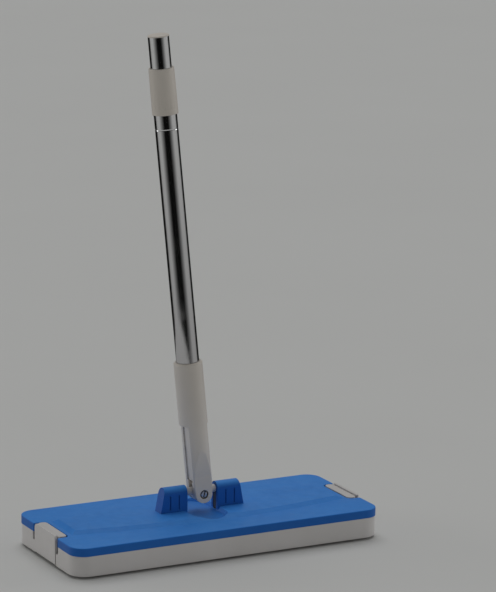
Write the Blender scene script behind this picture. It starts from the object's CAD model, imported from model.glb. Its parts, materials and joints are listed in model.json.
import json
import math
import random

import bpy
from mathutils import Matrix, Vector


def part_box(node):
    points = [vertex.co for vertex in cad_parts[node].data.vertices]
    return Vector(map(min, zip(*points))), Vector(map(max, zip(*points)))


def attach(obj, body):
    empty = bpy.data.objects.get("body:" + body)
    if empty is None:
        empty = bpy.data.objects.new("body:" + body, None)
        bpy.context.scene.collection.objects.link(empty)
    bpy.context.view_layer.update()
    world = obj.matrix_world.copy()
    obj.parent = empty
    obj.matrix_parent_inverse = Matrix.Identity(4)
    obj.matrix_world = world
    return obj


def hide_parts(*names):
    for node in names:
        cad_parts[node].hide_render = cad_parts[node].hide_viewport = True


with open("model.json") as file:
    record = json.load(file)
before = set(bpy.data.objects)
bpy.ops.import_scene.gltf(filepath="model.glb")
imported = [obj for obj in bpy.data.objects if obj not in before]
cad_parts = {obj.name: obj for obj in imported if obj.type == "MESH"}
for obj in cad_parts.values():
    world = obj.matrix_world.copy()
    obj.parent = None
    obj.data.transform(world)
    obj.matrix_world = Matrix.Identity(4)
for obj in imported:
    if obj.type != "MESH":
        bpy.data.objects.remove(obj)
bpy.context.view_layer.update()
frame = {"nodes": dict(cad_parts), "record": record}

MM = 0.001

# ---- camera ----------------------------------------------------------------------------------
CAMERA_AZIMUTH = math.radians(-27.07)
CAMERA_ELEVATION = math.radians(12.47)
CAMERA_ROLL = math.radians(0.50)
CAMERA_DISTANCE = 3.000
CAMERA_TARGET = Vector((0.0500, 0.0, 0.23434))
CAMERA_LENS = 192.61
CAMERA_REACH = 100.0


def add_camera():
    """Long-lens camera that looks at the target from the given azimuth and elevation."""
    level = Vector((math.sin(-CAMERA_AZIMUTH), math.cos(CAMERA_AZIMUTH), 0.0))
    forward = level * math.cos(CAMERA_ELEVATION) - Vector((0, 0, math.sin(CAMERA_ELEVATION)))
    right = forward.cross(Vector((0, 0, 1))).normalized()
    up = right.cross(forward)
    turned = Matrix.Rotation(-CAMERA_ROLL, 3, forward)
    right = turned @ right
    up = turned @ up
    data = bpy.data.cameras.new("camera")
    data.lens = CAMERA_LENS
    data.clip_end = CAMERA_REACH
    camera = bpy.data.objects.new("camera", data)
    axes = Matrix((right, up, -forward)).transposed().to_4x4()
    camera.matrix_world = Matrix.Translation(CAMERA_TARGET - forward * CAMERA_DISTANCE) @ axes
    bpy.context.scene.collection.objects.link(camera)
    bpy.context.scene.camera = camera


# ---- node helpers ----------------------------------------------------------------------------
class Graph:
    """A material's node tree with short calls for the nodes used here."""

    def __init__(self, name):
        self.material = bpy.data.materials.new(name)
        self.material.use_nodes = True
        self.tree = self.material.node_tree
        self.tree.nodes.clear()
        self.output = self.tree.nodes.new("ShaderNodeOutputMaterial")
        self.shader = self.tree.nodes.new("ShaderNodeBsdfPrincipled")
        self.link(self.shader.outputs["BSDF"], self.output.inputs["Surface"])
        self.place = self.tree.nodes.new("ShaderNodeTexCoord").outputs["Object"]

    def link(self, source, target):
        self.tree.links.new(source, target)

    def feed(self, socket, value):
        if isinstance(value, bpy.types.NodeSocket):
            self.link(value, socket)
        else:
            socket.default_value = value

    def set(self, **values):
        for name, value in values.items():
            self.feed(self.shader.inputs[name.replace("_", " ")], value)

    def stretch(self, scale):
        node = self.tree.nodes.new("ShaderNodeMapping")
        node.inputs["Scale"].default_value = scale
        self.link(self.place, node.inputs["Vector"])
        return node.outputs["Vector"]

    def noise(self, scale, detail=2.0, rough=0.5, vector=None):
        node = self.tree.nodes.new("ShaderNodeTexNoise")
        node.inputs["Scale"].default_value = scale
        node.inputs["Detail"].default_value = detail
        node.inputs["Roughness"].default_value = rough
        self.link(vector or self.place, node.inputs["Vector"])
        return node.outputs["Fac"]

    def span(self, value, low, high, to_low=0.0, to_high=1.0):
        node = self.tree.nodes.new("ShaderNodeMapRange")
        node.clamp = True
        self.feed(node.inputs["Value"], value)
        ends = {"From Min": low, "From Max": high, "To Min": to_low, "To Max": to_high}
        for name, number in ends.items():
            node.inputs[name].default_value = number
        return node.outputs["Result"]

    def math(self, operation, a, b=0.0):
        node = self.tree.nodes.new("ShaderNodeMath")
        node.operation = operation
        self.feed(node.inputs[0], a)
        self.feed(node.inputs[1], b)
        return node.outputs[0]

    def mix(self, amount, a, b):
        node = self.tree.nodes.new("ShaderNodeMix")
        node.data_type = "RGBA"
        self.feed(node.inputs["Factor"], amount)
        self.feed(node.inputs["A"], a)
        self.feed(node.inputs["B"], b)
        return node.outputs["Result"]

    def bump(self, height, strength, distance, normal=None):
        node = self.tree.nodes.new("ShaderNodeBump")
        node.inputs["Strength"].default_value = strength
        node.inputs["Distance"].default_value = distance
        self.link(height, node.inputs["Height"])
        if normal is not None:
            self.link(normal, node.inputs["Normal"])
        return node.outputs["Normal"]

    def edges(self, radius):
        """1 on edges and corners within the radius, 0 on open faces."""
        bevel = self.tree.nodes.new("ShaderNodeBevel")
        bevel.samples = 4
        bevel.inputs["Radius"].default_value = radius
        plain = self.tree.nodes.new("ShaderNodeNewGeometry")
        dot = self.tree.nodes.new("ShaderNodeVectorMath")
        dot.operation = "DOT_PRODUCT"
        self.link(bevel.outputs["Normal"], dot.inputs[0])
        self.link(plain.outputs["Normal"], dot.inputs[1])
        return self.span(dot.outputs["Value"], 0.995, 0.75)

    def hollows(self, distance):
        """1 in corners and under overhangs, 0 in the open."""
        node = self.tree.nodes.new("ShaderNodeAmbientOcclusion")
        node.samples = 4
        node.inputs["Distance"].default_value = distance
        return self.span(node.outputs["AO"], 0.85, 0.35)

    def height(self):
        """Height above the floor with every joint at rest, in metres."""
        split = self.tree.nodes.new("ShaderNodeSeparateXYZ")
        self.link(self.place, split.inputs[0])
        return split.outputs["Z"]

    def upward(self, low, high):
        """0 on faces that look sideways, 1 on faces that look up, where dust settles."""
        plain = self.tree.nodes.new("ShaderNodeNewGeometry")
        split = self.tree.nodes.new("ShaderNodeSeparateXYZ")
        self.link(plain.outputs["Normal"], split.inputs[0])
        return self.span(split.outputs["Z"], low, high)

    def soften(self, radius):
        """Rounds every hard edge a little in the shading, as moulded edges are."""
        node = self.tree.nodes.new("ShaderNodeBevel")
        node.samples = 4
        node.inputs["Radius"].default_value = radius
        return node.outputs["Normal"]


def tone(red, green, blue):
    return (red, green, blue, 1.0)


# ---- materials -------------------------------------------------------------------------------
def moulded_plastic(name, light, dark, worn, grime, grain=0.25, rough_base=0.42, edge=0.5, round_off=0.35):
    """Injection-moulded plastic: slow colour drift, a fine spark grain, rubbed edges, dust in corners.

    The edge and round_off distances are in millimetres.
    """
    g = Graph(name)
    drift = g.span(g.noise(14.0, 3.0), 0.35, 0.65)
    colour = g.mix(drift, light, dark)
    rubbed = g.math("MULTIPLY", g.edges(edge * MM), g.span(g.noise(90.0, 4.0), 0.38, 0.62, 0.15, 0.9))
    colour = g.mix(rubbed, colour, worn)
    dust = g.math("MULTIPLY", g.hollows(7 * MM), g.span(g.noise(160.0, 4.0), 0.3, 0.7, 0.15, 0.75))
    colour = g.mix(dust, colour, grime)
    scuff = g.noise(1.0, 3.0, 0.6, g.stretch((220.0, 900.0, 900.0)))
    rough = g.span(g.noise(55.0, 4.0, 0.6), 0.3, 0.7, rough_base - 0.06, rough_base + 0.08)
    rough = g.math("ADD", rough, g.span(scuff, 0.62, 0.75, 0.0, 0.08))
    fine = g.noise(2600.0, 2.0, 0.6)
    normal = g.bump(fine, grain, 0.06 * MM, g.soften(round_off * MM))
    g.set(Base_Color=colour, Roughness=rough, Normal=normal)
    return g


def white_plastic():
    return moulded_plastic(
        "white_plastic",
        light=tone(0.70, 0.675, 0.668),
        dark=tone(0.66, 0.637, 0.625),
        worn=tone(0.78, 0.76, 0.745),
        grime=tone(0.36, 0.335, 0.32),
    ).material


def grey_plastic():
    return moulded_plastic(
        "grey_plastic",
        light=tone(0.735, 0.68, 0.615),
        dark=tone(0.69, 0.635, 0.57),
        worn=tone(0.88, 0.85, 0.81),
        grime=tone(0.20, 0.185, 0.17),
        edge=0.8,
        round_off=0.8,
    ).material


# Heights at which the plate's colour changes, below its top in the dish and above it on the blocks.
PLATE_TOP = 30.0 * MM
DISH_SHADE_STARTS = PLATE_TOP - 0.1 * MM
DISH_SHADE_FULL = PLATE_TOP - 1.5 * MM
NO_FILM_BELOW = PLATE_TOP - 3.0 * MM
BLOCK_SHADE_STARTS = PLATE_TOP + 1.5 * MM
BLOCK_SHADE_FULL = PLATE_TOP + 3.5 * MM
BLOCK_SHADE = 0.30
DISH_SHADE = 0.25


def blue_plastic():
    """Blue plastic: paler on top, where a thin film of dust lies, deeper on the blocks and in the dish."""
    g = moulded_plastic(
        "blue_plastic",
        light=tone(0.018, 0.190, 0.700),
        dark=tone(0.014, 0.168, 0.640),
        worn=tone(0.06, 0.30, 0.78),
        grime=tone(0.008, 0.07, 0.30),
        grain=0.4,
        rough_base=0.5,
    )
    shadow_blue = tone(0.002, 0.02, 0.09)
    deep = g.shader.inputs["Base Color"].links[0].from_socket
    on_blocks = g.span(g.height(), BLOCK_SHADE_STARTS, BLOCK_SHADE_FULL, 0.0, BLOCK_SHADE)
    deep = g.mix(on_blocks, deep, shadow_blue)
    in_the_open = g.span(g.height(), NO_FILM_BELOW, PLATE_TOP)
    in_dish = g.span(g.height(), DISH_SHADE_STARTS, DISH_SHADE_FULL, 0.0, DISH_SHADE)
    deep = g.mix(in_dish, deep, shadow_blue)
    film_drift = g.span(g.noise(20.0, 4.0), 0.3, 0.7)
    film = g.mix(film_drift, tone(0.052, 0.295, 0.840), tone(0.046, 0.268, 0.790))
    settled = g.math("MULTIPLY", g.upward(0.25, 0.85), g.span(g.noise(120.0, 4.0), 0.2, 0.6, 0.75, 1.0))
    settled = g.math("MULTIPLY", settled, in_the_open)
    g.set(Base_Color=g.mix(settled, deep, film))
    g.set(Specular_IOR_Level=0.22)
    return g.material


def dark_plastic():
    return moulded_plastic(
        "dark_plastic",
        light=tone(0.030, 0.032, 0.036),
        dark=tone(0.022, 0.024, 0.028),
        worn=tone(0.09, 0.09, 0.095),
        grime=tone(0.07, 0.065, 0.06),
        rough_base=0.48,
    ).material


def glide_pad():
    return moulded_plastic(
        "glide",
        light=tone(0.30, 0.30, 0.29),
        dark=tone(0.24, 0.24, 0.235),
        worn=tone(0.36, 0.36, 0.35),
        grime=tone(0.12, 0.115, 0.11),
        grain=0.6,
        rough_base=0.7,
    ).material


# Heights between which the tube's plating goes from dull to clean.
DULL_BELOW = 0.18
CLEAN_ABOVE = 0.45


def chrome():
    """Bright plated tube: fine drawing lines along it, soft smears, and a dull film towards the floor."""
    g = Graph("chrome")
    lines = g.noise(1.0, 3.0, 0.6, g.stretch((1400.0, 1400.0, 22.0)))
    smear = g.noise(26.0, 4.0, 0.6)
    clean = g.span(g.height(), DULL_BELOW, CLEAN_ABOVE)
    plating = g.mix(clean, tone(0.62, 0.61, 0.62), tone(0.86, 0.86, 0.865))
    colour = g.mix(g.span(smear, 0.35, 0.7, 0.0, 0.12), plating, tone(0.45, 0.45, 0.46))
    drawn = g.span(lines, 0.3, 0.7, 0.07, 0.13)
    rough = g.math("ADD", drawn, g.span(smear, 0.55, 0.75, 0.0, 0.09))
    g.set(Base_Color=colour, Roughness=rough, Normal=g.bump(lines, 0.06, 0.02 * MM))
    g.set(Metallic=1.0)
    return g.material


def steel():
    """Zinc-plated fastener steel: mottled plating, worn bright edges, a dull film in the recesses."""
    g = Graph("steel")
    mottle = g.noise(500.0, 4.0, 0.6)
    colour = g.mix(g.span(mottle, 0.35, 0.65), tone(0.62, 0.62, 0.63), tone(0.48, 0.48, 0.50))
    colour = g.mix(g.edges(0.25 * MM), colour, tone(0.80, 0.80, 0.81))
    colour = g.mix(g.hollows(1.5 * MM), colour, tone(0.10, 0.095, 0.09))
    rough = g.span(g.noise(900.0, 3.0), 0.3, 0.7, 0.22, 0.42)
    normal = g.bump(mottle, 0.15, 0.03 * MM, g.soften(0.15 * MM))
    g.set(Base_Color=colour, Roughness=rough, Normal=normal)
    g.set(Metallic=1.0)
    return g.material


def bristle():
    """Nylon bristles: each a slightly different grey, dirty in patches, with a soft sheen."""
    g = Graph("bristle")
    info = g.tree.nodes.new("ShaderNodeNewGeometry")
    shade = info.outputs["Random Per Island"]
    colour = g.mix(shade, tone(0.40, 0.395, 0.38), tone(0.56, 0.55, 0.53))
    dirt = g.span(g.noise(60.0, 4.0), 0.5, 0.75, 0.0, 0.6)
    colour = g.mix(dirt, colour, tone(0.25, 0.235, 0.215))
    fibre = g.noise(4000.0, 2.0)
    rough = g.span(fibre, 0.3, 0.7, 0.4, 0.6)
    g.set(Base_Color=colour, Roughness=rough, Normal=g.bump(fibre, 0.2, 0.02 * MM))
    g.set(Sheen_Weight=0.2)
    return g.material


def floor_material():
    g = Graph("studio_floor")
    colour = g.mix(g.span(g.noise(3.0, 3.0), 0.3, 0.7), tone(0.72, 0.72, 0.71), tone(0.71, 0.71, 0.70))
    g.set(Base_Color=colour, Roughness=0.9)
    g.set(Specular_IOR_Level=0.0)
    return g.material


# ---- stage -----------------------------------------------------------------------------------
def mesh_object(name, vertices, faces, material):
    mesh = bpy.data.meshes.new(name)
    mesh.from_pydata(vertices, [], faces)
    mesh.update()
    made = bpy.data.objects.new(name, mesh)
    bpy.context.scene.collection.objects.link(made)
    mesh.materials.append(material)
    return made


FLOOR_HALF = 30.0


def add_floor():
    corners = [
        (-FLOOR_HALF, -FLOOR_HALF, 0),
        (FLOOR_HALF, -FLOOR_HALF, 0),
        (FLOOR_HALF, FLOOR_HALF, 0),
        (-FLOOR_HALF, FLOOR_HALF, 0),
    ]
    mesh_object("floor", corners, [(0, 1, 2, 3)], floor_material())


FLAG_STEPS = 24
FLAG = dict(radius=0.60, low=0.001, high=0.90, shade=0.009)


def add_flag(name, middle_angle, core_angle, edge_angle, radius, low, high, shade):
    """A curved dark studio flag round the object, there only for what glossy surfaces mirror.

    It is fully dark within the core angle and fades to nothing at the edge angle.
    """
    vertices = []
    for i in range(FLAG_STEPS + 1):
        angle = middle_angle + edge_angle * (2 * i / FLAG_STEPS - 1)
        for z in (low, high):
            vertices.append((radius * math.sin(angle), -radius * math.cos(angle), z))
    faces = [(2 * i, 2 * i + 2, 2 * i + 3, 2 * i + 1) for i in range(FLAG_STEPS)]
    g = Graph(name)
    g.set(Base_Color=tone(shade, shade, shade), Roughness=1.0)
    g.set(Specular_IOR_Level=0.0)
    towards = g.tree.nodes.new("ShaderNodeVectorMath")
    towards.operation = "DOT_PRODUCT"
    g.link(g.place, towards.inputs[0])
    middle = Vector((math.sin(middle_angle), -math.cos(middle_angle), 0.0))
    towards.inputs[1].default_value = middle / radius
    g.set(Alpha=g.span(towards.outputs["Value"], math.cos(edge_angle), math.cos(core_angle)))
    flag = mesh_object(name, vertices, faces, g.material)
    flag.visible_camera = False
    flag.visible_diffuse = False
    flag.visible_shadow = False
    flag.visible_transmission = False


def add_flags():
    for name, turn, core, edge in (
        ("flag_front", 0, 20, 64),
        ("flag_back_left", -130, 18, 36),
        ("flag_back_right", 136, 12, 32),
    ):
        middle_angle = CAMERA_AZIMUTH + math.radians(turn)
        add_flag(name, middle_angle, math.radians(core), math.radians(edge), **FLAG)


def add_lights():
    """Even studio light: a soft sky, a wide key from above, and low fills from back left and right."""
    world = bpy.data.worlds.new("studio")
    world.use_nodes = True
    back = world.node_tree.nodes["Background"]
    back.inputs["Color"].default_value = tone(0.985, 1.0, 0.99)
    back.inputs["Strength"].default_value = 0.252
    bpy.context.scene.world = world
    for name, strength, spread, direction in (
        ("key", 0.68, 50.0, Vector((0.12, 0.36, 0.92))),
        ("left_fill", 1.00, 40.0, Vector((-0.64, 0.77, -0.06))),
        ("right_fill", 0.74, 40.0, Vector((0.98, -0.16, -0.02))),
    ):
        data = bpy.data.lights.new(name, "SUN")
        data.energy = strength
        data.angle = math.radians(spread)
        lamp = bpy.data.objects.new(name, data)
        lamp.rotation_euler = direction.to_track_quat("Z", "Y").to_euler()
        bpy.context.scene.collection.objects.link(lamp)


# ---- bristles --------------------------------------------------------------------------------
ROLLERS = ("front_left", "front_right", "middle", "back_left", "back_right")
TUFT_PITCH = 3.0 * MM
TUFTS_ROUND = 11
BRISTLES_IN_TUFT = 9
BRISTLE_RADIUS = 0.19 * MM
BARREL_RADIUS = 5.5 * MM
ROOT_DEPTH = 0.35 * MM
END_MARGIN = 1.0 * MM
ROW_TWIST = 0.11


def brush_mesh(name, material):
    """Tufts of single tapered bristles in a spiral round the roller's core."""
    low, high = (Vector(corner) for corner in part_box(name))
    middle = (low + high) / 2
    outer = (high.z - low.z) / 2
    draw = random.Random(name)
    length = high.x - low.x - 2 * END_MARGIN
    rows = int(length / TUFT_PITCH)
    vertices, faces = [], []
    for row in range(rows + 1):
        along = low.x + END_MARGIN + length * row / rows
        for k in range(TUFTS_ROUND):
            angle = 2 * math.pi * (k + (row % 2) / 2) / TUFTS_ROUND + ROW_TWIST * row
            for _ in range(BRISTLES_IN_TUFT):
                add_bristle(vertices, faces, draw, along, angle, middle, outer, low.x, high.x)
    return mesh_object(name + "_bristles", vertices, faces, material)


def add_bristle(vertices, faces, draw, along, angle, middle, outer, low_x, high_x):
    """One closed three-sided bristle: a root ring, a ring half way, and the tip."""
    at_x = along + draw.gauss(0, 0.28 * MM)
    at_angle = angle + draw.gauss(0, 0.05)
    lean_x = draw.gauss(0, 0.75 * MM)
    lean_angle = draw.gauss(0, 0.09)
    root = BARREL_RADIUS - ROOT_DEPTH
    tip = outer - draw.uniform(0.0, 0.5) * MM
    first = len(vertices)
    for radius, share, thick in ((root, 0.0, 1.0), ((root + tip) / 2, 0.35, 0.9), (tip, 1.0, 0.55)):
        x = min(max(at_x + lean_x * share, low_x + BRISTLE_RADIUS), high_x - BRISTLE_RADIUS)
        a = at_angle + lean_angle * share
        out = Vector((0, math.sin(a), math.cos(a)))
        side = Vector((0, math.cos(a), -math.sin(a)))
        centre = Vector((x, middle.y, middle.z)) + out * radius
        for k in range(3):
            turn = 2 * math.pi * k / 3
            corner = Vector((math.cos(turn), 0, 0)) + side * math.sin(turn)
            vertices.append(centre + corner * BRISTLE_RADIUS * thick)
    for ring in (0, 3):
        for k in range(3):
            n = (k + 1) % 3
            faces.append((first + ring + k, first + ring + n, first + ring + 3 + n, first + ring + 3 + k))
    faces.append((first + 2, first + 1, first))
    faces.append((first + 6, first + 7, first + 8))


# ---- assembly --------------------------------------------------------------------------------
add_camera()
add_floor()
add_lights()
add_flags()

materials = {
    "white_plastic": white_plastic(),
    "grey_plastic": grey_plastic(),
    "blue_plastic": blue_plastic(),
    "dark_plastic": dark_plastic(),
    "glide": glide_pad(),
    "chrome": chrome(),
    "steel": steel(),
    "bristle": bristle(),
}
for part in frame["record"]["subparts"]:
    node = frame["nodes"][part["node"]]
    node.data.materials.clear()
    node.data.materials.append(materials[part["material_slot"]])

for roller in ROLLERS:
    node_name = roller + "_roller_brush"
    brush = brush_mesh(node_name, materials["bristle"])
    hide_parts(node_name)
    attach(brush, roller + "_roller")

bpy.context.scene.view_settings.view_transform = "Standard"
